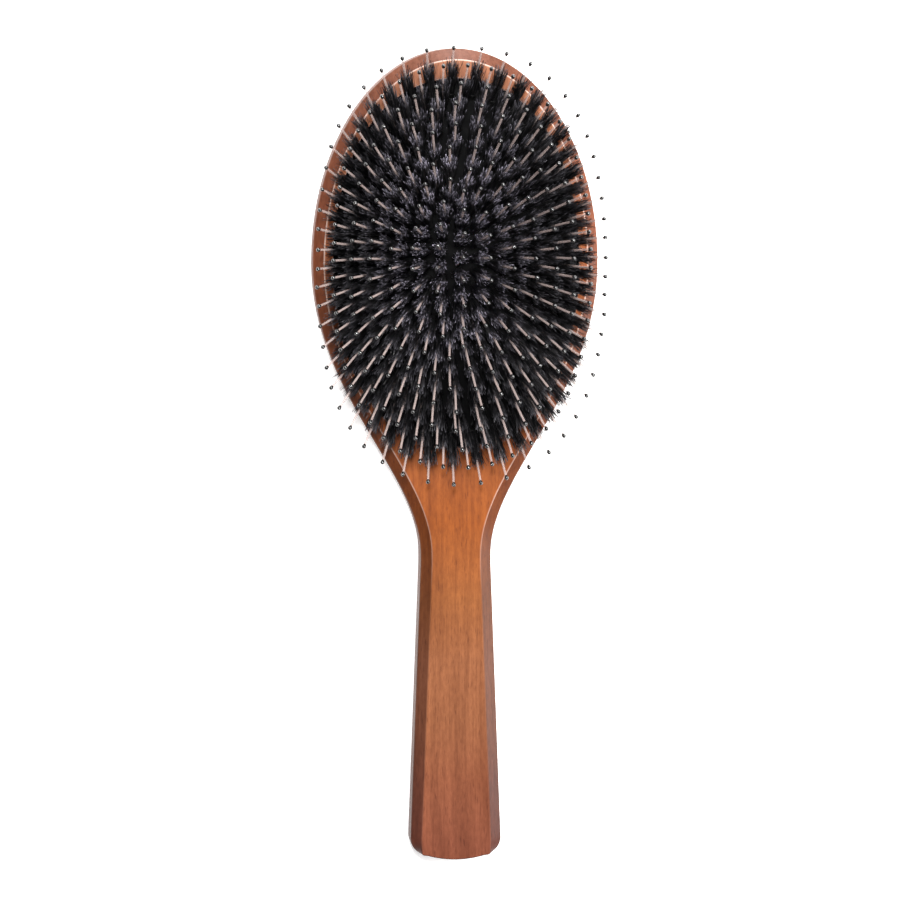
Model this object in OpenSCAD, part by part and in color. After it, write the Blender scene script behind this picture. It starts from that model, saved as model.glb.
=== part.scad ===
// Cushion hairbrush: a wooden paddle body, a domed rubber cushion held in a recess of its head,
// and rings of tufts. Each tuft is a bundle of bristles round a longer pin with a ball tip,
// held through the cushion by a sleeve.
//
// The brush lies on its back: X runs across the head, Y along the brush with the head towards +Y,
// and Z up through the tufts. The origin is under the middle of the whole brush.

/* [Wooden body] */
// Width of the head at its widest
head_width = 84; // [80:1:90]
// Distance from the widest place of the head to its top
head_top = 62.75; // [60:0.25:66]
// Distance from the widest place of the head to the end of the handle
handle_reach = 177.25; // [165:0.25:190]
// Width of the neck
neck_width = 20.8; // [18:0.2:24]
// Width of the handle just before its end
handle_end_width = 27; // [24:0.5:30]
// Radius of the handle's end corners
end_corner = 5; // [4:0.5:7]
// Thickness of the wood
body_thickness = 14; // [13.5:0.5:16]
// Width of the bevel, seen from the front
bevel_width = 3.3; // [2:0.1:3.5]
// Depth of the bevel
bevel_depth = 2.5; // [1.5:0.1:2.8]

/* [Recess and cushion] */
// Width of the recess
recess_width = 72; // [70:1:74]
// Length of the recess
recess_length = 108; // [104:1:110]
// How much fuller than an ellipse the recess, the cushion and the rings are at their diagonals
fullness = 0.025; // [0:0.005:0.03]
// Wood left under the recess
floor_thickness = 5.5; // [4:0.5:6]
// Height of the groove's lower side above the back
groove_height = 9; // [8.5:0.1:9.2]
// How far the groove reaches into the wood
groove_depth = 2; // [1.5:0.1:2.2]
// Thickness of the rubber
rubber = 1.4; // [1.2:0.1:1.5]
// Height of the dome above the cushion's flange
dome_height = 8; // [6:0.5:9]
// Radius of the vent hole
vent_radius = 0.6; // [0.5:0.1:0.7]

/* [Tufts] */
// Number of rings of tufts, the last of them a straight row along the middle of the head
ring_count = 8; // [6:1:8]
// Distance from the centre of the head to the outer ring, across the head
outer_ring = 31.5; // [31:0.1:31.5]
// Length of the middle row
middle_row = 28; // [24:1:30]
// Number of tufts in the middle row
middle_tufts = 8; // [6:1:8]
// Average distance between tufts along the outer ring
outer_pitch = 5; // [5:0.1:6]
// Average distance between tufts along the other rings
inner_pitch = 4.4; // [4.4:0.1:6]
// How much closer the tufts stand at the sides of the head than at its ends
side_crowding = 0.4; // [0:0.05:0.5]
// Depth below a tuft of the point that it leans away from, at the outer ring
fan_depth = 55.5; // [54:0.5:80]
// How many times more sharply a tuft leans for its place near the middle
middle_fan = 2.1; // [1.5:0.1:2.2]
// How many times more sharply it leans at the diagonals of the outer ring
diagonal_fan = 1.36; // [1:0.02:1.4]
// Length of a pin above the cushion, with its tip
pin_reach = 21.5; // [19:0.5:22]
// Radius of a pin
pin_radius = 0.4; // [0.35:0.05:0.45]
// Radius of a ball tip
tip_radius = 0.6; // [0.5:0.05:0.7]
// Length of a ball tip
tip_length = 1.7; // [1.4:0.1:2]
// Length of the bristles
bristle_length = 12.5; // [11:0.5:15]
// Radius of a bristle bundle at its root
bundle_root = 0.95; // [0.9:0.05:1]
// Radius of a bristle bundle at its ends
bundle_spread = 1.55; // [1.4:0.05:1.75]
// How far a tuft may lean away from its true direction, in degrees
lean_error = 0.8; // [0:0.1:1]

/* [Hidden] */
$fn = 32;
gap = 0.3;                          // between the cushion and the sides of its seat
flange_gap = 0.1;                   // above and below the cushion's flange
running_gap = 0.2;                  // between a sleeve and its hole in the cushion
bore_gap = 0.03;                    // between a pin and what it passes through
oval_sides = 72;                    // sides of an oval outline
dome_rings = 7;                     // outlines from the edge of the dome to its top
dome_end_angle = 88;                // the last one stands here, where 90 would be a point
sleeve_radius = 1;
sleeve_above = 1;                   // sleeve above the cushion
sleeve_head_radius = 1.2;
sleeve_head_top = 3.2;              // top of the sleeve's head below the cushion's surface
sleeve_head_thickness = 0.7;
pin_seat = 0.5;                     // how far a pin goes below the cushion's surface
neck_y = -86;                       // end of the head's curve, from the widest place
head_pull = 39;                     // how long the curve keeps the head's direction
neck_pull = 24;                     // how long it has the neck's direction
neck_length = 3;                    // straight length of the neck
end_bulge = 1.2;                    // how far the handle's end bows out
curve_sides = 28;                   // sides of the head's curve on each side
ring_steps = 120;                   // steps round a ring when its length is added up
half_width = head_width / 2;
recess_half = [recess_width / 2, recess_length / 2];
dome_half = [for (r = recess_half) r - gap];
flange_half = [for (r = recess_half) r + groove_depth - gap];
flange_bottom = groove_height + flange_gap;
flange_top = flange_bottom + rubber;
groove_top = flange_top + flange_gap;
dome_top = flange_top + dome_height;
outer_ring_length = recess_length / 2 - (recess_width / 2 - outer_ring);

// The middle of the brush along Y, so that the origin is under the middle of its whole length
function tip_y(k, i) = let (s = tuft_seat(k, i)) s.y + pin_reach * tuft_way(k, i).y;
far_tip = max([for (i = [0:tuft_count(1) - 1]) tip_y(1, i)]) + tip_radius / 2;
centre_y = (handle_reach - max(head_top, far_tip)) / 2;

// ---- Outline of the body, from the top of the head down its right side ----

function bezier(a, b, c, d, t) =
    pow(1 - t, 3) * a + 3 * pow(1 - t, 2) * t * b + 3 * (1 - t) * t * t * c + t * t * t * d;

head_arc = [for (i = [0:curve_sides - 1]) let (a = 90 - 90 * i / curve_sides)
    [half_width * cos(a), head_top * sin(a)]];
shoulder = [for (i = [0:curve_sides])
    bezier([half_width, 0], [half_width, -head_pull],
        [neck_width / 2, neck_y + neck_pull], [neck_width / 2, neck_y], i / curve_sides)];
handle_corner = [handle_end_width / 2, end_bulge - handle_reach];
handle_side = [for (t = [0:0.2:0.8])
    [neck_width / 2, neck_y - neck_length] * (1 - t) + (handle_corner + [0, end_corner]) * t];
end_arc = [for (a = [0:15:75]) handle_corner + end_corner * [cos(a) - 1, 1 - sin(a)]];
end_edge = [for (t = [0:0.25:1]) let (x = (1 - t) * (handle_corner.x - end_corner))
    [x, -handle_reach + end_bulge * pow(x / (handle_corner.x - end_corner), 2)]];
right_side = concat(head_arc, shoulder, handle_side, end_arc, end_edge);
outline = concat(right_side,
    [for (i = [len(right_side) - 2:-1:1]) [-right_side[i].x, right_side[i].y]]);

// Outline moved inwards by a distance, point by point
function unit(v) = v / norm(v);
function inset(points, distance) = let (n = len(points)) [for (i = [0:n - 1])
    let (
        before = unit(points[i] - points[(i + n - 1) % n]),
        after = unit(points[(i + 1) % n] - points[i]),
        along = unit(before + after)
    ) points[i] + distance * [along.y, -along.x] / (along * after)];
// Bevelled outline: the bevel runs along the sides and round the head, and the handle's end is cut square
function face_point(point, moved) = point.y > handle_corner.y + end_corner ? moved
    : [min(abs(point.x), handle_corner.x - bevel_width) * sign(point.x), point.y];
function fuller(a) = 1 + fullness * pow(sin(2 * a), 2);
function oval_point(half, a) = fuller(a) * [half.x * cos(a), half.y * sin(a)];
function oval(half, sides = oval_sides) = [for (i = [0:sides - 1]) oval_point(half, 90 - 360 * i / sides)];
function at_height(points, z) = [for (p = points) [p.x, p.y, z]];

// Solid through a stack of outlines that all have the same number of points, the first at the
// bottom of the stack. Each cap is a row of four-sided faces from the left side to the right.
module stack(outlines) {
    n = len(outlines[0]);
    last = (len(outlines) - 1) * n;
    sides = [for (k = [0:len(outlines) - 2], i = [0:n - 1]) let (j = (i + 1) % n)
        [k * n + i, k * n + j, (k + 1) * n + j, (k + 1) * n + i]];
    bottom = [for (i = [0:n / 2 - 1]) i == 0 ? [n - 1, 1, 0]
        : i == n / 2 - 1 ? [n - i, i + 1, i] : [n - i, n - i - 1, i + 1, i]];
    top = [for (i = [0:n / 2 - 1]) i == 0 ? [last, last + 1, last + n - 1]
        : i == n / 2 - 1 ? [last + i, last + i + 1, last + n - i]
        : [last + i, last + i + 1, last + n - i - 1, last + n - i]];
    polyhedron([for (o = outlines) each o], concat(sides, bottom, top), convexity = 6);
}

// ---- Places of the tufts ----

function ring_half(k) = let (share = (k - 1) / (ring_count - 1))
    (1 - share) * [outer_ring, outer_ring_length] + share * [0, middle_row / 2];
// Crowded length of a ring up to each of a number of steps round it
function ring_lengths(k) = let (r = ring_half(k)) [
    for (i = 0, total = 0; i <= ring_steps;
        a = 360 * (i + 0.5) / ring_steps,
        total = total + norm([r.x * sin(a), r.y * cos(a)]) * (2 * PI / ring_steps)
            * (1 + side_crowding * (pow(cos(a), 2) - 0.5)),
        i = i + 1)
    [total, 360 * i / ring_steps]];
function tuft_count(k) = k == ring_count ? middle_tufts
    : round(ring_lengths(k)[ring_steps][0] / (k == 1 ? outer_pitch : inner_pitch));
function tuft_angle(k, i) = let (lengths = ring_lengths(k), n = tuft_count(k))
    k == ring_count ? asin(2 * i / (n - 1) - 1)
    : lookup((i + (k % 2) / 2) / n * lengths[ring_steps][0], lengths);
function dome_z(p) = let (q = [p.x / dome_half.x, p.y / dome_half.y])
    flange_top + dome_height * sqrt(max(0, 1 - pow(norm(q) / fuller(atan2(q.y, q.x)), 2)));
function tuft_seat(k, i) = let (p = oval_point(ring_half(k), tuft_angle(k, i)))
    [p.x, p.y, dome_z(p)];
function tuft_way(k, i) = let (
        seat = tuft_seat(k, i),
        place = [seat.x / outer_ring, seat.y / outer_ring_length],
        sharper = (1 + (middle_fan - 1) * (1 - norm(place)))
            * (1 + (diagonal_fan - 1) * pow(2 * place.x * place.y, 2)),
        lean = sharper / fan_depth * [seat.x, seat.y],
        error = sin(lean_error) * rands(-1, 1, 2, 100 * k + i)
    ) unit([lean.x + error[0], lean.y + error[1], 1]);

// Puts its children at every tuft of a ring, with Z along the tuft
module each_tuft(k) {
    for (i = [0:tuft_count(k) - 1]) {
        way = tuft_way(k, i);
        translate(tuft_seat(k, i))
            rotate([0, acos(way.z), atan2(way.y, way.x)])
                children();
    }
}

// ---- Pieces ----

module brush_body() {
    moved = inset(outline, bevel_width);
    inner = [for (i = [0:len(outline) - 1]) face_point(outline[i], moved[i])];
    color("peru") translate([0, centre_y, 0]) difference() {
        stack([
            at_height(inner, 0),
            at_height(outline, bevel_depth),
            at_height(outline, body_thickness - bevel_depth),
            at_height(inner, body_thickness)
        ]);
        translate([0, 0, floor_thickness])
            linear_extrude(body_thickness)
                polygon(oval(recess_half));
        translate([0, 0, groove_height])
            linear_extrude(groove_top - groove_height)
                polygon(oval([for (r = recess_half) r + groove_depth]));
    }
}

// One outline of a dome that springs from a height, some distance inside the cushion's edge
function dome_outline(angle, inside, height) =
    at_height(oval([for (r = dome_half) (r - inside) * cos(angle)]), height + dome_height * sin(angle));

module rubber_cushion() {
    angles = [for (i = [0:dome_rings - 1]) dome_end_angle * i / (dome_rings - 1)];
    color("black") translate([0, centre_y, 0]) difference() {
        stack(concat(
            [for (i = [dome_rings - 1:-1:0]) dome_outline(angles[i], rubber, flange_bottom)],
            [at_height(oval(flange_half), flange_bottom), at_height(oval(flange_half), flange_top)],
            [for (a = angles) dome_outline(a, 0, flange_top)]
        ));
        for (k = [1:ring_count])
            each_tuft(k)
                translate([0, 0, -sleeve_head_top])
                    cylinder(r = sleeve_radius + running_gap, h = sleeve_head_top + sleeve_above);
        translate([0, 0, groove_height])
            cylinder(r = vent_radius, h = dome_top);
    }
}

module tuft_sleeves(k) {
    color("black") translate([0, centre_y, 0]) each_tuft(k) difference() {
        union() {
            translate([0, 0, -sleeve_head_top])
                cylinder(r = sleeve_radius, h = sleeve_head_top + sleeve_above);
            translate([0, 0, -sleeve_head_top - sleeve_head_thickness])
                cylinder(r = sleeve_head_radius, h = sleeve_head_thickness);
        }
        translate([0, 0, -pin_seat])
            cylinder(r = pin_radius + bore_gap, h = pin_seat + 2 * sleeve_above);
    }
}

module boar_bristles(k) {
    color("dimgray") translate([0, centre_y, 0]) each_tuft(k)
        rotate_extrude() polygon([
            [pin_radius + bore_gap, sleeve_above],
            [bundle_root, sleeve_above],
            [bundle_spread, bristle_length],
            [pin_radius + bore_gap, bristle_length]
        ]);
}

module nylon_pins(k) {
    color("mistyrose") translate([0, centre_y, 0]) each_tuft(k)
        translate([0, 0, -pin_seat])
            cylinder(r = pin_radius, h = pin_reach - tip_length + pin_seat);
}

module ball_tips(k) {
    color("black") translate([0, centre_y, 0]) each_tuft(k)
        translate([0, 0, pin_reach])
            rotate_extrude() polygon(concat(
                [[0, -tip_length], [pin_radius, -tip_length]],
                [for (a = [0:22.5:90]) [tip_radius * cos(a), tip_radius * (sin(a) - 1)]]
            ));
}

brush_body();
rubber_cushion();
for (k = [1:ring_count]) {
    tuft_sleeves(k);
    boar_bristles(k);
    nylon_pins(k);
    ball_tips(k);
}
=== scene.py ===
import math
import random

import bmesh
import bpy
import numpy as np
from mathutils import Matrix, Vector
from mathutils.kdtree import KDTree


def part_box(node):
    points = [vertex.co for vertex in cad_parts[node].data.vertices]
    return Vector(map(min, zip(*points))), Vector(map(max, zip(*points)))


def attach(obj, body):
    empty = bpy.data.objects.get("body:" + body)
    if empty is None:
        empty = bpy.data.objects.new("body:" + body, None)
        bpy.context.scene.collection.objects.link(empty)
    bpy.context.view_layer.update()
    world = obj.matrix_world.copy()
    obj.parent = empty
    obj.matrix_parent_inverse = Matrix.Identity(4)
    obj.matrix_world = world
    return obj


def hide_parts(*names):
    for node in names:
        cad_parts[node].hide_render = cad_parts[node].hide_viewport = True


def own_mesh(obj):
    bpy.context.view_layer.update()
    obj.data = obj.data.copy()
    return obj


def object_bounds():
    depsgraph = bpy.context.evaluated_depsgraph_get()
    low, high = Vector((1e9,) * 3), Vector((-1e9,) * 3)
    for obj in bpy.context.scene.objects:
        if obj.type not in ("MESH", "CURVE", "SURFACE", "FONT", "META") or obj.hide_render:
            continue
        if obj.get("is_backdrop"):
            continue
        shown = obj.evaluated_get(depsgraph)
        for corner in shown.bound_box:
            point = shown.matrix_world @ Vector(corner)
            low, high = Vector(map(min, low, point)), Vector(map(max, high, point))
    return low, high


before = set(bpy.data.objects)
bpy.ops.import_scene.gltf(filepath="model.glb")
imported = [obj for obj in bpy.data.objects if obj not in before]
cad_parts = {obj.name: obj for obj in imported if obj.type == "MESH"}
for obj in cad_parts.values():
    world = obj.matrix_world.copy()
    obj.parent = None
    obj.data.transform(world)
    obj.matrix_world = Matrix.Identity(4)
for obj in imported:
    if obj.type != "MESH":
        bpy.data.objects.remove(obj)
cadLow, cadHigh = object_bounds()
print("frame loaded:", len(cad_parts), "nodes")

mm = 0.001
chance = random.Random(23)
ringNumbers = sorted(int(n.rsplit("_", 1)[1]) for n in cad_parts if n.startswith("nylon_pins"))
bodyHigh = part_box("brush_body")[1]
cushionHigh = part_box("rubber_cushion")[1]


cameraSettings = {
    "fromLeft": 5.0,        # degrees away from straight above, towards the brush's left side
    "fromHead": 6.0,        # and towards the top of the head
    "distance": 1.3,
    "lens": 176.8,
    "lookAt": (-1.9 * mm, 1.8 * mm, 14 * mm),   # on the face of the wood
}


def makeCamera(settings):
    left = math.radians(settings["fromLeft"])
    head = math.radians(settings["fromHead"])
    back = Vector((-math.tan(left), math.tan(head), 1)).normalized()
    target = Vector(settings["lookAt"])
    bpy.ops.object.camera_add(location=target + back * settings["distance"])
    camera = bpy.context.object
    camera.name = "camera"
    camera.data.lens = settings["lens"]
    camera.rotation_mode = "QUATERNION"
    side = Vector((0, 1, 0)).cross(back).normalized()
    up = back.cross(side)
    camera.rotation_quaternion = Matrix((side, up, back)).transposed().to_quaternion()
    bpy.context.scene.camera = camera


studioSettings = {
    "floorSize": 6.0,
    "floorColour": (0.93, 0.93, 0.925),
    "worldColour": (1.0, 1.0, 1.0),
    "worldStrength": 0.2,
    "floorGlow": 0.55,      # lifts the paper to white without more light on the brush
    "aim": (0, 0.04, 0),
    # name, place, size, power, colour
    "lamps": [
        ("keySoftbox", (0.62, 0.25, 1.10), 0.5, 16.5, (1.0, 0.99, 0.97)),
        ("topSoftbox", (0.10, 0.8, 1.2), 0.5, 9.0, (1.0, 1.0, 1.0)),
        ("sparkLamp", (-0.12, 0.30, 1.25), 0.12, 10.0, (1.0, 1.0, 1.0)),
        ("sideCard", (1.2, -0.15, 0.34), 0.5, 8.0, (1.0, 1.0, 1.0)),
        ("headCard", (0.1, 1.2, 0.34), 0.5, 11.0, (1.0, 1.0, 1.0)),
    ],
}


def makeStudio(settings):
    bpy.ops.mesh.primitive_plane_add(size=settings["floorSize"], location=(0, 0, 0))
    floor = bpy.context.object
    floor.name = "floor"
    paper = newMaterial("whitePaper", baseColour=settings["floorColour"], roughness=0.9)
    paper.shader.inputs["Emission Color"].default_value = (1, 1, 1, 1)
    paper.shader.inputs["Emission Strength"].default_value = settings["floorGlow"]
    floor.data.materials.append(paper.material)
    floor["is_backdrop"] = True

    world = bpy.data.worlds.new("studio")
    world.use_nodes = True
    background = world.node_tree.nodes["Background"]
    background.inputs["Color"].default_value = (*settings["worldColour"], 1)
    background.inputs["Strength"].default_value = settings["worldStrength"]
    bpy.context.scene.world = world
    bpy.context.scene.view_settings.view_transform = "Standard"

    for name, place, size, power, colour in settings["lamps"]:
        bpy.ops.object.light_add(type="AREA", location=place)
        lamp = bpy.context.object
        lamp.name = name
        lamp.data.shape = "DISK"
        lamp.data.size = size
        lamp.data.energy = power
        lamp.data.color = colour
        aim = Vector(settings["aim"]) - Vector(place)
        lamp.rotation_mode = "QUATERNION"
        lamp.rotation_quaternion = aim.to_track_quat("-Z", "Y")


class newMaterial:
    # a Principled material with short ways to add and join nodes
    def __init__(self, name, baseColour=(0.8, 0.8, 0.8), **values):
        self.material = bpy.data.materials.new(name)
        self.material.use_nodes = True
        self.nodes = self.material.node_tree.nodes
        self.links = self.material.node_tree.links
        self.shader = self.nodes["Principled BSDF"]
        self.shader.inputs["Base Color"].default_value = (*baseColour, 1)
        for key, value in values.items():
            self.shader.inputs[socketNames.get(key, key)].default_value = value

    def add(self, kind, **settings):
        node = self.nodes.new(kind)
        for key, value in settings.items():
            setattr(node, key, value)
        return node

    def group(self, tree, **values):
        node = self.nodes.new("ShaderNodeGroup")
        node.node_tree = tree
        for key, value in values.items():
            node.inputs[key].default_value = value
        return node

    def join(self, output, target):
        self.links.new(output, target)

    def mottle(self, patchSize, toothSize, place=None):
        # the outputs Patches and Tooth of the shared group, on object coordinates unless told otherwise
        node = self.group(groups["mottle"], **{"Patch Size": patchSize, "Tooth Size": toothSize})
        self.join(place or self.add("ShaderNodeTexCoord").outputs["Object"], node.inputs["Vector"])
        return node.outputs["Patches"], node.outputs["Tooth"]


socketNames = {
    "roughness": "Roughness",
    "ior": "IOR",
    "specular": "Specular IOR Level",
    "coat": "Coat Weight",
    "coatRoughness": "Coat Roughness",
    "alpha": "Alpha",
}


def newGroup(name, inputs, outputs):
    tree = bpy.data.node_groups.new(name, "ShaderNodeTree")
    for socketName, kind, value in inputs:
        socket = tree.interface.new_socket(socketName, in_out="INPUT", socket_type=kind)
        if value is not None:
            socket.default_value = value
    for socketName, kind in outputs:
        tree.interface.new_socket(socketName, in_out="OUTPUT", socket_type=kind)
    return tree, tree.nodes.new("NodeGroupInput"), tree.nodes.new("NodeGroupOutput")


def addMath(tree, operation, first, second=None, third=None, clamp=False):
    node = tree.nodes.new("ShaderNodeMath")
    node.operation = operation
    node.use_clamp = clamp
    for socket, value in zip(node.inputs, (first, second, third)):
        if value is None:
            continue
        if isinstance(value, (int, float)):
            socket.default_value = value
        else:
            tree.links.new(value, socket)
    return node.outputs[0]


def addNoise(tree, vector, scale, detail=2.0, roughness=0.5, distortion=0.0):
    node = tree.nodes.new("ShaderNodeTexNoise")
    node.inputs["Detail"].default_value = detail
    node.inputs["Roughness"].default_value = roughness
    node.inputs["Distortion"].default_value = distortion
    tree.links.new(vector, node.inputs["Vector"])
    if isinstance(scale, (int, float)):
        node.inputs["Scale"].default_value = scale
    else:
        tree.links.new(scale, node.inputs["Scale"])
    return node.outputs["Fac"]


def addRange(tree, value, low, high, newLow=0.0, newHigh=1.0, smooth=False):
    node = tree.nodes.new("ShaderNodeMapRange")
    node.interpolation_type = "SMOOTHSTEP" if smooth else "LINEAR"
    for name, number in (("From Min", low), ("From Max", high), ("To Min", newLow), ("To Max", newHigh)):
        if isinstance(number, (int, float)):
            node.inputs[name].default_value = number
        else:
            tree.links.new(number, node.inputs[name])
    tree.links.new(value, node.inputs["Value"])
    return node.outputs["Result"]


def addMix(tree, factor, first, second, blend="MIX"):
    node = tree.nodes.new("ShaderNodeMix")
    node.data_type = "RGBA"
    node.blend_type = blend
    for index, value in ((0, factor), (6, first), (7, second)):
        socket = node.inputs[index]
        if isinstance(value, (int, float)):
            socket.default_value = value
        elif isinstance(value, tuple):
            socket.default_value = (*value, 1)
        else:
            tree.links.new(value, socket)
    return node.outputs[2]


def addRelief(surface, height, strength, depth):
    # fine relief from a height of 0 to 1, as deep as depth in mm
    relief = surface.add("ShaderNodeBump")
    relief.inputs["Strength"].default_value = strength
    relief.inputs["Distance"].default_value = depth * mm
    surface.join(height, relief.inputs["Height"])
    surface.join(relief.outputs["Normal"], surface.shader.inputs["Normal"])


def makeMottleGroup():
    # soft uneven patches and a fine tooth, for the surfaces of wood, rubber and plastic
    tree, source, result = newGroup(
        "mottle",
        [("Vector", "NodeSocketVector", None), ("Patch Size", "NodeSocketFloat", 100.0),
         ("Tooth Size", "NodeSocketFloat", 2000.0)],
        [("Patches", "NodeSocketFloat"), ("Tooth", "NodeSocketFloat")])
    patches = addNoise(tree, source.outputs["Vector"], source.outputs["Patch Size"], detail=3.0)
    tooth = addNoise(tree, source.outputs["Vector"], source.outputs["Tooth Size"], detail=2.0)
    tree.links.new(addRange(tree, patches, 0.3, 0.7), result.inputs["Patches"])
    tree.links.new(addRange(tree, tooth, 0.3, 0.7), result.inputs["Tooth"])
    return tree


def makeArrisGroup():
    # a mask along rounded edges, found by how far the surface leans
    tree, source, result = newGroup(
        "arris",
        [("Lean", "NodeSocketFloat", 0.9), ("Reach", "NodeSocketFloat", 0.09)],
        [("Mask", "NodeSocketFloat")])
    geometry = tree.nodes.new("ShaderNodeNewGeometry")
    parts = tree.nodes.new("ShaderNodeSeparateXYZ")
    tree.links.new(geometry.outputs["Normal"], parts.inputs[0])
    away = addMath(tree, "SUBTRACT", parts.outputs["Z"], source.outputs["Lean"])
    share = addMath(tree, "DIVIDE", addMath(tree, "ABSOLUTE", away), source.outputs["Reach"])
    tree.links.new(addMath(tree, "SUBTRACT", 1.0, share, clamp=True), result.inputs["Mask"])
    return tree


woodSettings = {
    # place along the brush in mm, and the wood's stain colour with painted light: darker towards the
    # handle's end as painted shade, paler at the head's top as painted sheen
    "stainAndPaintedLight": [
        (-116, (0.160, 0.045, 0.021)),
        (-97, (0.182, 0.055, 0.023)),
        (-79, (0.214, 0.073, 0.028)),
        (-61, (0.226, 0.078, 0.029)),
        (-43, (0.226, 0.071, 0.018)),
        (-20, (0.254, 0.064, 0.009)),
        (60, (0.330, 0.094, 0.030)),
        (120, (0.350, 0.140, 0.070)),
    ],
    # stretch along the brush, turn in degrees, scale, detail, roughness, distortion
    "bands": (0.07, 2.0, 170.0, 3.0, 0.55, 0.5),
    "fibres": (0.03, 1.0, 1300.0, 4.0, 0.65, 0.0),
    "flecks": (0.30, 1.0, 1000.0, 3.0, 0.7, 0.0),
    "pores": (0.13, 0.0, 2300.0, 1.0, 0.5, 0.0),
    "patchSize": 70.0,
    "toothSize": 900.0,
    "patchStretch": (0.5, 12),
    "grainShare": 0.75,
    "fleckShare": 0.45,
    "patchShare": 0.28,
    "bevelLean": (0.97, 0.85),          # the normal's Z where the bevel's painted shade starts and is full
    "wornAndHighlitFrom": (-40, 20),              # along the brush in mm, from hardly to fully paled edges, partly rub wear and partly a painted highlight
    "reliefStrength": 0.25,
    "reliefDepth": 0.12,
    "darkGrain": (0.72, 0.66, 0.62),
    "lightGrain": (1.20, 1.24, 1.30),
    "fibreShade": (0.80, 0.76, 0.74),
    "poreShade": (0.52, 0.44, 0.42),
    # pale edge colour: partly rub wear, partly a painted highlight along the arris
    "wornAndHighlit": (0.76, 0.56, 0.48),
    # painted shade for the bevels and the sides
    "bevelShade": (0.50, 0.48, 0.58),
}


def makeWoodMaterial(settings):
    wood = newMaterial("varnishedWood", roughness=0.46, coat=0.12, coatRoughness=0.3, specular=0.12)
    tree = wood.material.node_tree
    place = wood.add("ShaderNodeTexCoord").outputs["Object"]

    def stretched(along, turn):
        mapping = wood.add("ShaderNodeMapping")
        mapping.inputs["Scale"].default_value = (1, along, 1)
        mapping.inputs["Rotation"].default_value = (0, 0, math.radians(turn))
        wood.join(place, mapping.inputs["Vector"])
        return mapping.outputs["Vector"]

    def figure(name):
        along, turn, *noise = settings[name]
        return addNoise(tree, stretched(along, turn), *noise)

    parts = wood.add("ShaderNodeSeparateXYZ")
    wood.join(place, parts.inputs[0])
    first, last = settings["stainAndPaintedLight"][0][0], settings["stainAndPaintedLight"][-1][0]
    # the wood's stain along the brush, with painted shade towards the handle's end and a painted sheen at
    # the head's top
    stainAndPaintedLight = wood.add("ShaderNodeValToRGB")
    wood.join(addRange(tree, parts.outputs["Y"], first * mm, last * mm), stainAndPaintedLight.inputs["Fac"])
    stops = stainAndPaintedLight.color_ramp.elements
    while len(stops) < len(settings["stainAndPaintedLight"]):
        stops.new(0.5)
    for stop, (where, colour) in zip(stops, settings["stainAndPaintedLight"]):
        stop.position = (where - first) / (last - first)
        stop.color = (*colour, 1)

    fibres = figure("fibres")
    drawn = stretched(*settings["patchStretch"])
    patches, tooth = wood.mottle(settings["patchSize"], settings["toothSize"], drawn)
    dark, light = settings["darkGrain"], settings["lightGrain"]
    grain = addMix(tree, addRange(tree, figure("bands"), 0.32, 0.68), dark, light)
    tone = addMix(tree, settings["grainShare"], stainAndPaintedLight.outputs["Color"], grain, "MULTIPLY")
    tone = addMix(tree, addRange(tree, fibres, 0.42, 0.66), tone, settings["fibreShade"], "MULTIPLY")
    fleck = addMix(tree, addRange(tree, figure("flecks"), 0.36, 0.64), dark, light)
    tone = addMix(tree, settings["fleckShare"], tone, fleck, "MULTIPLY")
    patch = addMix(tree, patches, dark, light)
    tone = addMix(tree, settings["patchShare"], tone, patch, "MULTIPLY")
    poreMask = addRange(tree, figure("pores"), 0.62, 0.74, 0.0, 0.6)
    tone = addMix(tree, poreMask, tone, settings["poreShade"], "MULTIPLY")
    # painted shade: the bevels and the sides are coloured darker by how far the surface leans
    slope = wood.add("ShaderNodeSeparateXYZ")
    wood.join(wood.add("ShaderNodeNewGeometry").outputs["Normal"], slope.inputs[0])
    paintedShadeMask = addRange(tree, addMath(tree, "ABSOLUTE", slope.outputs["Z"]), *settings["bevelLean"])
    tone = addMix(tree, paintedShadeMask, tone, settings["bevelShade"], "MULTIPLY")
    # the edges of the head are painted paler, partly as rub wear and partly as a painted highlight on the
    # rounded arris
    arris = wood.group(groups["arris"], **{"Lean": 0.91, "Reach": 0.085})
    start, end = settings["wornAndHighlitFrom"]
    onHead = addRange(tree, parts.outputs["Y"], start * mm, end * mm, 0.03, 1.0)
    uneven = addRange(tree, patches, 0.0, 1.0, 0.7, 1.0)
    wornAndHighlit = addMath(tree, "MULTIPLY", arris.outputs["Mask"], addMath(tree, "MULTIPLY", onHead, uneven))
    tone = addMix(tree, wornAndHighlit, tone, settings["wornAndHighlit"])
    wood.join(tone, wood.shader.inputs["Base Color"])
    wood.join(addRange(tree, patches, 0.0, 1.0, 0.4, 0.54), wood.shader.inputs["Roughness"])

    height = addMath(tree, "SUBTRACT", addMath(tree, "MULTIPLY", fibres, 0.7), poreMask)
    height = addMath(tree, "ADD", height, addMath(tree, "MULTIPLY", tooth, 0.25))
    addRelief(wood, height, settings["reliefStrength"], settings["reliefDepth"])
    return wood.material


def makeRubberMaterial():
    rubber = newMaterial("blackRubber", roughness=0.75, specular=0.08)
    tree = rubber.material.node_tree
    patches, tooth = rubber.mottle(160.0, 3200.0)
    colour = addMix(tree, patches, (0.0015, 0.0015, 0.0017), (0.0035, 0.0035, 0.0037))
    rubber.join(colour, rubber.shader.inputs["Base Color"])
    rubber.join(addRange(tree, patches, 0.0, 1.0, 0.65, 0.85), rubber.shader.inputs["Roughness"])
    addRelief(rubber, tooth, 0.3, 0.08)
    return rubber.material


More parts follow.
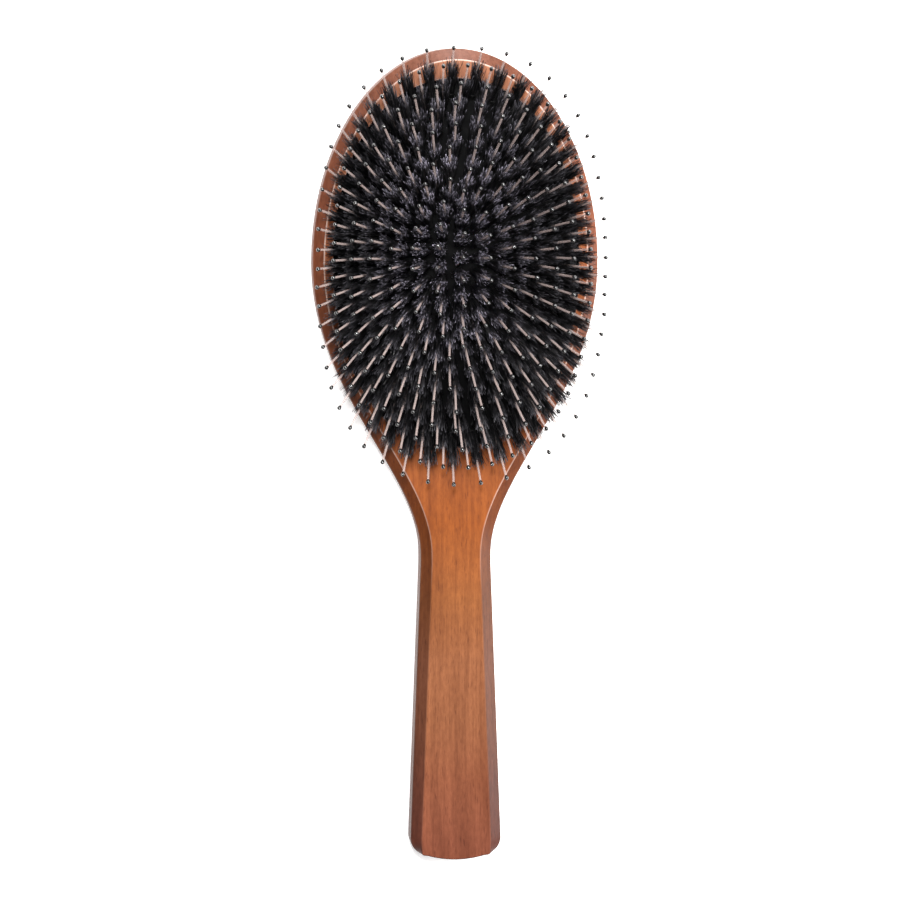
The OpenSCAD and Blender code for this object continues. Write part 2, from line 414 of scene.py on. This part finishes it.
def makeSleeveMaterial():
    sleeve = newMaterial("blackSleeve", roughness=0.5, specular=0.3)
    tree = sleeve.material.node_tree
    patches, tooth = sleeve.mottle(400.0, 4000.0)
    colour = addMix(tree, patches, (0.004, 0.004, 0.004), (0.010, 0.010, 0.010))
    sleeve.join(colour, sleeve.shader.inputs["Base Color"])
    sleeve.join(addRange(tree, tooth, 0.0, 1.0, 0.32, 0.48), sleeve.shader.inputs["Roughness"])
    return sleeve.material


def makeBristleMaterial():
    bristle = newMaterial("boarBristle", roughness=0.36, specular=0.3)
    tree = bristle.material.node_tree
    tone = bristle.add("ShaderNodeAttribute", attribute_name="strandTone").outputs["Fac"]
    along = bristle.add("ShaderNodeAttribute", attribute_name="strandAlong").outputs["Fac"]
    # tone differs at random per strand; the palest few are painted glints standing in for the bristles'
    # shine
    pale = addMath(tree, "POWER", tone, 5.0)
    colour = addMix(tree, pale, (0.003, 0.003, 0.0034), (0.065, 0.062, 0.066))
    # painted highlight: the cut ends of the bristles are painted pale, as if lit from above
    litEndMask = addRange(tree, along, 0.85, 1.0, 0.0, 1.0, smooth=True)
    litEndColour = addMix(tree, addMath(tree, "POWER", tone, 2.5), (0.008, 0.008, 0.009), (0.21, 0.202, 0.225))
    # painted light: the bristle ends in the middle of the head are painted greyer as a pool of light, those
    # at its edges blacker as painted shade
    mapping = bristle.add("ShaderNodeMapping")
    mapping.inputs["Location"].default_value = (2 * mm, -0.55 * (headY + 12 * mm), 0)
    mapping.inputs["Scale"].default_value = (1, 0.55, 0)
    bristle.join(bristle.add("ShaderNodeTexCoord").outputs["Object"], mapping.inputs["Vector"])
    away = bristle.add("ShaderNodeVectorMath", operation="LENGTH")
    bristle.join(mapping.outputs["Vector"], away.inputs[0])
    paintedLightPool = addRange(tree, away.outputs["Value"], 30 * mm, 6 * mm, 0.0, 1.0, smooth=True)
    litEndColour = addMix(tree, paintedLightPool, addMix(tree, 1.0, litEndColour, (0.75, 0.75, 0.77), "MULTIPLY"),
                       addMix(tree, 1.0, litEndColour, (4.0, 3.85, 4.3), "MULTIPLY"))
    colour = addMix(tree, litEndMask, colour, litEndColour)
    bristle.join(colour, bristle.shader.inputs["Base Color"])
    bristle.join(addRange(tree, tone, 0.0, 1.0, 0.3, 0.5), bristle.shader.inputs["Roughness"])
    return bristle.material


def makePinMaterial():
    pin = newMaterial("paleNylon", roughness=0.25, specular=0.2, alpha=0.38)
    tree = pin.material.node_tree
    patches, tooth = pin.mottle(220.0, 2500.0)
    colour = addMix(tree, patches, (0.58, 0.47, 0.44), (0.48, 0.38, 0.36))
    pin.join(colour, pin.shader.inputs["Base Color"])
    pin.join(addRange(tree, tooth, 0.0, 1.0, 0.14, 0.3), pin.shader.inputs["Roughness"])
    return pin.material


def makeTipMaterial():
    tip = newMaterial("glossyBlack", baseColour=(0.006, 0.006, 0.006), roughness=0.09, ior=1.85)
    tree = tip.material.node_tree
    patches, tooth = tip.mottle(500.0, 4000.0)
    colour = addMix(tree, patches, (0.004, 0.004, 0.004), (0.012, 0.011, 0.011))
    tip.join(colour, tip.shader.inputs["Base Color"])
    tip.join(addRange(tree, tooth, 0.0, 1.0, 0.08, 0.2), tip.shader.inputs["Roughness"])
    return tip.material


def pickOnly(*objects):
    bpy.ops.object.select_all(action="DESELECT")
    for obj in objects:
        obj.select_set(True)
    bpy.context.view_layer.objects.active = objects[0]


def startEditing(obj, mode="FACE"):
    pickOnly(obj)
    bpy.ops.object.mode_set(mode="EDIT")
    bpy.ops.mesh.select_mode(type=mode)


def stopEditing():
    bpy.ops.object.mode_set(mode="OBJECT")


def pickFaces(obj, wanted):
    bpy.ops.mesh.select_all(action="DESELECT")
    mesh = bmesh.from_edit_mesh(obj.data)
    for face in mesh.faces:
        face.select_set(wanted(face))
    bmesh.update_edit_mesh(obj.data)


def faceOutwards(obj):
    startEditing(obj)
    bpy.ops.mesh.select_all(action="SELECT")
    bpy.ops.mesh.remove_doubles(threshold=0.000001)
    bpy.ops.mesh.normals_make_consistent(inside=False)
    stopEditing()


def applyModifier(obj, kind, **settings):
    pickOnly(obj)
    bpy.ops.object.modifier_add(type=kind)
    modifier = obj.modifiers[-1]
    for key, value in settings.items():
        setattr(modifier, key, value)
    bpy.ops.object.modifier_apply(modifier=modifier.name)


def cutAway(obj, cutter):
    applyModifier(obj, "BOOLEAN", operation="DIFFERENCE", solver="EXACT", object=cutter)
    bpy.data.objects.remove(cutter)


def shadeSmooth(obj, angle=40):
    pickOnly(obj)
    bpy.ops.object.shade_smooth_by_angle(angle=math.radians(angle))


def settlePiece(obj, name, body, slot, material, *nodes):
    obj.name = name
    obj.data.name = name
    obj.data.materials.clear()
    obj.data.materials.append(material)
    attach(obj, body)
    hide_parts(*nodes)
    return obj


bodySettings = {
    "headHalfWidth": 42.0,
    "headTop": 62.75,
    "handleReach": 177.25,
    "neckHalfWidth": 10.4,
    "neckY": -86.0,
    "neckLength": 3.0,
    "headPull": 39.0,
    "neckPull": 24.0,
    "handleEndHalfWidth": 13.5,
    "endCorner": 5.0,
    "endBulge": 1.2,
    "thickness": 14.0,
    "bevelWidth": 3.3,
    "bevelDepth": 2.5,
    "arrisRound": 0.4,
    "recessHalf": (36.0, 54.0),
    "fullness": 0.025,      # how much fuller than an ellipse the recess is at its diagonals
    "floorHeight": 5.5,
    "grooveHeight": 9.0,
    "grooveTop": 10.6,
    "grooveDepth": 2.0,
}
headY = bodyHigh.y - bodySettings["headTop"] * mm   # the widest place of the head


def bezier(a, b, c, d, t):
    return (1 - t) ** 3 * a + 3 * (1 - t) ** 2 * t * b + 3 * (1 - t) * t * t * c + t ** 3 * d


def bodyOutline(settings):
    # the right side from the top of the head to the middle of the handle's end, then the left
    half, top, reach = settings["headHalfWidth"], settings["headTop"], settings["handleReach"]
    neck, neckY = settings["neckHalfWidth"], settings["neckY"]
    corner, bulge = settings["endCorner"], settings["endBulge"]
    endX, endY = settings["handleEndHalfWidth"], settings["endBulge"] - settings["handleReach"]
    points = []
    for i in range(64):
        angle = math.radians(90 - 90 * i / 64)
        points.append((half * math.cos(angle), top * math.sin(angle)))
    for i in range(61):
        points.append((bezier(half, half, neck, neck, i / 60),
                       bezier(0, -settings["headPull"], neckY + settings["neckPull"], neckY, i / 60)))
    for i in range(30):
        t = i / 30
        points.append((neck * (1 - t) + endX * t,
                       (neckY - settings["neckLength"]) * (1 - t) + (endY + corner) * t))
    for i in range(9):
        angle = math.radians(10 * i)
        points.append((endX + corner * (math.cos(angle) - 1), endY + corner * (1 - math.sin(angle))))
    for i in range(7):
        x = (endX - corner) * (1 - i / 6)
        points.append((x, -reach + bulge * (x / (endX - corner)) ** 2))
    return points + [(-x, y) for x, y in points[-2:0:-1]]


def squareTheEnd(body, settings):
    # the bevels run out at the handle's end, so the front and the back reach its edge there
    mesh = body.data
    partner = {}
    for edge in mesh.edges:
        a, b = edge.vertices
        for inner, outer in ((a, b), (b, a)):
            height = mesh.vertices[inner].co.z / mm
            nearSide = settings["bevelDepth"] - 0.1 < mesh.vertices[outer].co.z / mm < \
                settings["thickness"] - settings["bevelDepth"] + 0.1
            if nearSide and not 0.1 < height < settings["thickness"] - 0.1:
                partner[inner] = outer
    cornerY = headY + (settings["endBulge"] - settings["handleReach"] + settings["endCorner"]) * mm
    arrisX = (settings["handleEndHalfWidth"] - settings["bevelWidth"]) * mm
    for inner, outer in partner.items():
        edgePlace = mesh.vertices[outer].co
        if edgePlace.y < cornerY + 0.01 * mm:
            x = max(-arrisX, min(arrisX, edgePlace.x))
            mesh.vertices[inner].co = (x, edgePlace.y, mesh.vertices[inner].co.z)


def ovalCutter(half, fullness, low, high):
    bpy.ops.mesh.primitive_cylinder_add(vertices=180, radius=1, depth=(high - low) * mm,
                                        location=(0, headY, (low + high) / 2 * mm))
    cutter = bpy.context.object
    for vertex in cutter.data.vertices:
        vertex.co.xy *= 1 + fullness * (2 * vertex.co.x * vertex.co.y) ** 2
    cutter.scale = (half[0] * mm, half[1] * mm, 1)
    bpy.ops.object.transform_apply(location=True, rotation=True, scale=True)
    return cutter


def makeBody(settings, material):
    outline = bodyOutline(settings)
    bpy.ops.object.select_all(action="DESELECT")
    bpy.ops.mesh.primitive_circle_add(vertices=len(outline), radius=0.05, fill_type="NGON")
    body = bpy.context.object
    for vertex, (x, y) in zip(body.data.vertices, outline):
        vertex.co = (x * mm, y * mm + headY, settings["bevelDepth"] * mm)
    side = (settings["thickness"] - 2 * settings["bevelDepth"]) * mm
    startEditing(body)
    bpy.ops.mesh.select_all(action="SELECT")
    bpy.ops.mesh.extrude_region_move(TRANSFORM_OT_translate={"value": (0, 0, side)})
    bpy.ops.mesh.select_all(action="SELECT")
    bpy.ops.mesh.normals_make_consistent(inside=False)
    pickFaces(body, lambda face: abs(face.normal.z) > 0.9)
    bpy.ops.mesh.inset(thickness=settings["bevelWidth"] * mm, depth=settings["bevelDepth"] * mm,
                       use_even_offset=True)
    stopEditing()
    squareTheEnd(body, settings)
    fullness = settings["fullness"]
    above = settings["thickness"] + 5
    cutAway(body, ovalCutter(settings["recessHalf"], fullness, settings["floorHeight"], above))
    groove = [half + settings["grooveDepth"] for half in settings["recessHalf"]]
    cutAway(body, ovalCutter(groove, fullness, settings["grooveHeight"], settings["grooveTop"]))
    applyModifier(body, "BEVEL", width=settings["arrisRound"] * mm, segments=3, limit_method="ANGLE",
                  angle_limit=math.radians(28), use_clamp_overlap=False)
    shadeSmooth(body, 35)
    applyModifier(body, "WEIGHTED_NORMAL", keep_sharp=True, weight=100)
    return settlePiece(body, "brushBody", "body", "wood", material, "brush_body")


pinSeat = 0.5 * mm      # how far a pin goes below the cushion's surface


def readTufts(ring):
    # each pin of the ring gives its tuft's root on the cushion and its direction
    mesh = bmesh.new()
    mesh.from_mesh(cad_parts[f"nylon_pins_ring_{ring}"].data)
    bmesh.ops.remove_doubles(mesh, verts=mesh.verts, dist=0.000001)
    waiting = set(mesh.verts)
    tufts = []
    while waiting:
        pile = [waiting.pop()]
        found = []
        while pile:
            vertex = pile.pop()
            found.append(vertex.co.copy())
            for edge in vertex.link_edges:
                other = edge.other_vert(vertex)
                if other in waiting:
                    waiting.remove(other)
                    pile.append(other)
        middle = sum(found, Vector()) / len(found)
        way = max(found, key=lambda p: (p - middle).length) - middle
        upper = [p for p in found if (p - middle).dot(way) > 0]
        lower = [p for p in found if (p - middle).dot(way) <= 0]
        high = sum(upper, Vector()) / len(upper)
        low = sum(lower, Vector()) / len(lower)
        if high.z < low.z:
            high, low = low, high
        way = (high - low).normalized()
        tufts.append((low + way * pinSeat, way))
    mesh.free()
    return sorted(tufts, key=lambda t: math.atan2(t[0].y - headY, t[0].x))


def placeCopies(sources, tufts, name, stretch=0.0):
    copies = []
    for root, way in tufts:
        source = chance.choice(sources)
        copy = bpy.data.objects.new(name, source.data.copy())
        bpy.context.scene.collection.objects.link(copy)
        turn = Matrix.Rotation(chance.uniform(0, math.tau), 4, "Z")
        size = Matrix.Scale(1 + chance.uniform(-stretch, stretch), 4, (0, 0, 1))
        stand = way.to_track_quat("Z", "Y").to_matrix().to_4x4()
        copy.data.transform(Matrix.Translation(root) @ stand @ turn @ size)
        copies.append(copy)
    pickOnly(*copies)
    bpy.ops.object.join()
    return bpy.context.object


cushionSettings = {
    "half": (35.7, 53.7),
    "flangeHalf": (37.7, 55.7),
    "fullness": 0.025,
    "flangeTop": 10.5,
    "domeHeight": 8.0,
    "rubber": 1.4,
    "cells": (150, 226),
    "holeRadius": 1.05,
    "bossHeight": 0.5,
    "bossRadius": 1.25,
    "ventRadius": 0.6,
    "holeBelow": 0.3,       # the holes are centred on the tufts this far below the surface
    "keepPressed": 0.366,   # share of the dome's height that is left when it's pressed
}


def makeCushion(settings, tufts, material):
    bpy.ops.object.select_all(action="DESELECT")
    across, lengthwise = settings["cells"]
    bpy.ops.mesh.primitive_grid_add(x_subdivisions=across, y_subdivisions=lengthwise, size=2)
    cushion = bpy.context.object
    count = len(cushion.data.vertices)
    places = np.zeros(count * 3)
    cushion.data.vertices.foreach_get("co", places)
    u, v = places.reshape(-1, 3)[:, 0], places.reshape(-1, 3)[:, 1]
    # the square grid is drawn into a round one, then raised to a dome
    x = u * np.sqrt(1 - v * v / 2)
    y = v * np.sqrt(1 - u * u / 2)
    rise = np.sqrt(np.clip(1 - x * x - y * y, 0, 1))
    fuller = 1 + settings["fullness"] * (2 * x * y / np.maximum(x * x + y * y, 1e-6)) ** 2
    x = x * fuller * settings["half"][0]
    y = y * fuller * settings["half"][1] + headY / mm
    z = settings["flangeTop"] + settings["domeHeight"] * rise
    cushion.data.vertices.foreach_set("co", (np.stack([x, y, z], 1) * mm).ravel())
    startEditing(cushion, "EDGE")
    bpy.ops.mesh.select_all(action="DESELECT")
    bpy.ops.mesh.select_non_manifold(extend=False, use_wire=False, use_boundary=True)
    bpy.ops.mesh.extrude_edges_move()
    wider = [flange / half for flange, half in zip(settings["flangeHalf"], settings["half"])]
    bpy.ops.transform.resize(value=(wider[0], wider[1], 1), center_override=(0, headY, 0))
    bpy.ops.mesh.select_mode(type="FACE")
    tree = KDTree(len(tufts))
    for index, (root, way) in enumerate(tufts):
        centre = root - way * settings["holeBelow"] * mm
        tree.insert((centre.x, centre.y, 0), index)
    tree.balance()

    def underTuft(face):
        middle = face.calc_center_median()
        return tree.find((middle.x, middle.y, 0))[2] < settings["holeRadius"] * mm

    pickFaces(cushion, underTuft)
    bpy.ops.mesh.delete(type="FACE")
    stopEditing()
    faceOutwards(cushion)
    applyModifier(cushion, "SOLIDIFY", thickness=settings["rubber"] * mm, offset=-1, use_even_offset=False)
    raiseBosses(cushion, settings, tufts)
    bpy.ops.mesh.primitive_cylinder_add(vertices=20, radius=settings["ventRadius"] * mm, depth=10 * mm,
                                        location=(0, headY, cushionHigh.z))
    cutAway(cushion, bpy.context.object)
    shadeSmooth(cushion, 50)
    settlePiece(cushion, "rubberCushion", "body", "cushion", material, "rubber_cushion")
    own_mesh(cushion)
    return cushion


def raiseBosses(cushion, settings, tufts):
    # the outer side of the rubber rises a little round each tuft
    roots = np.array([root for root, _ in tufts]) / mm
    places = np.zeros(len(cushion.data.vertices) * 3)
    cushion.data.vertices.foreach_get("co", places)
    places = places.reshape(-1, 3)
    x, y, z = (places / mm).T
    u = x / settings["half"][0]
    v = (y - headY / mm) / settings["half"][1]
    fuller = 1 + settings["fullness"] * (2 * u * v / np.maximum(u * u + v * v, 1e-6)) ** 2
    rise = np.sqrt(np.clip(1 - (u * u + v * v) / fuller ** 2, 0, 1))
    outside = (abs(z - settings["flangeTop"] - settings["domeHeight"] * rise) < 0.1) & (rise > 0.05)
    apart = np.hypot(x[:, None] - roots[None, :, 0], y[:, None] - roots[None, :, 1]).min(axis=1)
    places[:, 2] += outside * settings["bossHeight"] * np.exp(-(apart / settings["bossRadius"]) ** 4) * mm
    cushion.data.vertices.foreach_set("co", places.ravel())
    cushion.data.update()


sleeveSettings = {"radius": 1.0, "above": 1.0, "headRadius": 1.2, "headTop": 3.2, "headThickness": 0.7,
                  "lip": 0.1, "bore": 0.7}


def makeSleeve(settings):
    bpy.ops.object.select_all(action="DESELECT")
    bottom = -(settings["headTop"] + settings["headThickness"])
    bpy.ops.mesh.primitive_cylinder_add(vertices=12, radius=settings["headRadius"] * mm,
                                        depth=settings["headThickness"] * mm,
                                        location=(0, 0, (bottom + settings["headThickness"] / 2) * mm))
    sleeve = bpy.context.object
    bpy.ops.object.transform_apply(location=True, rotation=True, scale=True)
    startEditing(sleeve)
    pickFaces(sleeve, lambda face: face.normal.z > 0.9)
    bpy.ops.mesh.inset(thickness=(settings["headRadius"] - settings["radius"]) * mm, depth=0)
    bpy.ops.mesh.extrude_region_move(TRANSFORM_OT_translate={"value": (
        0, 0, (settings["headTop"] + settings["above"] - settings["lip"]) * mm)})
    bpy.ops.mesh.inset(thickness=settings["lip"] * mm, depth=settings["lip"] * mm)
    bpy.ops.mesh.inset(thickness=(settings["radius"] - settings["lip"] - settings["bore"]) * mm, depth=0)
    bpy.ops.mesh.extrude_region_move(TRANSFORM_OT_translate={"value": (0, 0, -settings["above"] * mm)})
    stopEditing()
    faceOutwards(sleeve)
    shadeSmooth(sleeve, 40)
    return sleeve


strandSettings = {
    "count": 124,
    "rootRadius": 0.085,
    "endRadius": 0.07,
    "length": 14.6,
    "lengthError": 2.4,
    "crown": 0.4,           # how much shorter the outer strands are
    "innerRadius": 0.5,
    "bundleRadius": 0.86,
    "spread": 1.9,
    "stray": 0.62,
    "bend": 0.75,
    "start": 0.3,           # where a strand starts inside its sleeve
    "bundles": 7,
    "cuts": (0.4, 0.75),    # where a strand can bend
    "turn": 137.508,        # degrees from one strand's root to the next
    "spreadPower": 1.4,
}


def makeStrand(settings):
    bpy.ops.object.select_all(action="DESELECT")
    bpy.ops.mesh.primitive_cone_add(vertices=3, radius1=settings["rootRadius"] * mm,
                                    radius2=settings["endRadius"] * mm, depth=1, location=(0, 0, 0.5))
    strand = bpy.context.object
    bpy.ops.object.transform_apply(location=True, rotation=True, scale=True)
    startEditing(strand)
    for height in settings["cuts"]:
        bpy.ops.mesh.select_all(action="SELECT")
        bpy.ops.mesh.bisect(plane_co=(0, 0, height), plane_no=(0, 0, 1))
    stopEditing()
    return strand


def makeBundle(settings, strand):
    # strands stand evenly round the pin and spread towards their ragged ends
    base = np.array([v.co for v in strand.data.vertices])
    along = base[:, 2].copy()
    copies = []
    for i in range(settings["count"]):
        share = (i + 0.5) / settings["count"]
        inner, outer = settings["innerRadius"], settings["bundleRadius"]
        radius = math.sqrt(inner ** 2 + (outer ** 2 - inner ** 2) * share)
        angle = i * math.radians(settings["turn"]) + chance.uniform(-0.2, 0.2)
        root = np.array([radius * math.cos(angle), radius * math.sin(angle)])
        stray = np.array([chance.gauss(0, settings["stray"]), chance.gauss(0, settings["stray"])])
        end = root * settings["spread"] + stray
        bend = np.array([chance.gauss(0, settings["bend"]), chance.gauss(0, settings["bend"])])
        length = settings["length"] - settings["start"] - abs(chance.gauss(0, settings["lengthError"]))
        length -= settings["crown"] * share
        spread = along[:, None] ** settings["spreadPower"] * (end - root)
        sway = spread + (along * (1 - along))[:, None] * bend * 1.6
        places = base.copy()
        places[:, :2] += (root + sway) * mm
        places[:, 2] = (settings["start"] + along * length) * mm
        copy = bpy.data.objects.new("strand", strand.data.copy())
        bpy.context.scene.collection.objects.link(copy)
        copy.data.vertices.foreach_set("co", places.ravel())
        tone = copy.data.attributes.new("strandTone", "FLOAT", "POINT")
        tone.data.foreach_set("value", np.full(len(base), chance.random(), np.float32))
        height = copy.data.attributes.new("strandAlong", "FLOAT", "POINT")
        height.data.foreach_set("value", along.astype(np.float32))
        copies.append(copy)
    pickOnly(*copies)
    bpy.ops.object.join()
    bundle = bpy.context.object
    shadeSmooth(bundle, 80)
    return bundle


pinSettings = {"rootRadius": 0.38, "endRadius": 0.34, "reach": 20.1, "bow": 0.22, "shapes": 4,
               "cuts": (0.2, 0.4, 0.6, 0.8)}


def makePin(settings):
    bpy.ops.object.select_all(action="DESELECT")
    length = settings["reach"] * mm + pinSeat
    bpy.ops.mesh.primitive_cone_add(vertices=8, radius1=settings["rootRadius"] * mm,
                                    radius2=settings["endRadius"] * mm, depth=length,
                                    location=(0, 0, length / 2 - pinSeat))
    pin = bpy.context.object
    bpy.ops.object.transform_apply(location=True, rotation=True, scale=True)
    startEditing(pin)
    for share in settings["cuts"]:
        bpy.ops.mesh.select_all(action="SELECT")
        bpy.ops.mesh.bisect(plane_co=(0, 0, length * share - pinSeat), plane_no=(0, 0, 1))
    stopEditing()
    bow = chance.uniform(0.3, 1) * settings["bow"] * mm
    for vertex in pin.data.vertices:
        share = (vertex.co.z + pinSeat) / length
        vertex.co.x += bow * math.sin(math.pi * share)
    shadeSmooth(pin, 50)
    return pin


tipSettings = {"radius": 0.62, "length": 1.7, "reach": 21.5, "narrowing": 0.18}


def makeTip(settings):
    bpy.ops.object.select_all(action="DESELECT")
    bpy.ops.mesh.primitive_uv_sphere_add(segments=10, ring_count=8, radius=settings["radius"] * mm)
    tip = bpy.context.object
    tail = settings["length"] / settings["radius"] - 1      # the lower half is drawn out to a drop
    for vertex in tip.data.vertices:
        if vertex.co.z < 0:
            depth = -vertex.co.z / (settings["radius"] * mm)
            vertex.co.x *= 1 - settings["narrowing"] * depth
            vertex.co.y *= 1 - settings["narrowing"] * depth
            vertex.co.z *= tail
        vertex.co.z += (settings["reach"] - settings["radius"]) * mm
    shadeSmooth(tip, 80)
    return tip


makeCamera(cameraSettings)
makeStudio(studioSettings)

groups = {"mottle": makeMottleGroup(), "arris": makeArrisGroup()}
woodMaterial = makeWoodMaterial(woodSettings)
rubberMaterial = makeRubberMaterial()
print("materials made")

makeBody(bodySettings, woodMaterial)
print("wooden body made")

tuftsOfRing = {ring: readTufts(ring) for ring in ringNumbers}
allTufts = [tuft for ring in ringNumbers for tuft in tuftsOfRing[ring]]
print("tufts:", {ring: len(tufts) for ring, tufts in tuftsOfRing.items()})

makeCushion(cushionSettings, allTufts, rubberMaterial)
print("cushion made")

sleeve = makeSleeve(sleeveSettings)
strand = makeStrand(strandSettings)
bundles = [makeBundle(strandSettings, strand) for _ in range(strandSettings["bundles"])]
pins = [makePin(pinSettings) for _ in range(pinSettings["shapes"])]
tip = makeTip(tipSettings)
tuftPieces = [
    # piece, CAD node, slot, material, shapes to copy, stretch
    ("tuftSleeves", "tuft_sleeves", "sleeve", makeSleeveMaterial(), [sleeve], 0.0),
    ("boarBristles", "boar_bristles", "bristle", makeBristleMaterial(), bundles, 0.04),
    ("nylonPins", "nylon_pins", "pin", makePinMaterial(), pins, 0.0),
    ("ballTips", "ball_tips", "tip", makeTipMaterial(), [tip], 0.0),
]
for ring in ringNumbers:
    for name, node, slot, material, shapes, stretch in tuftPieces:
        piece = placeCopies(shapes, tuftsOfRing[ring], name, stretch)
        settlePiece(piece, f"{name}Ring{ring}", f"tuft_ring_{ring}", slot, material, f"{node}_ring_{ring}")
for obj in [sleeve, strand, tip, *bundles, *pins]:
    bpy.data.objects.remove(obj)
print("tufts placed")

low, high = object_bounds()
for name, span in (("cad", cadHigh - cadLow), ("visual", high - low)):
    print("size mm:", name, [round(v / mm, 1) for v in span])
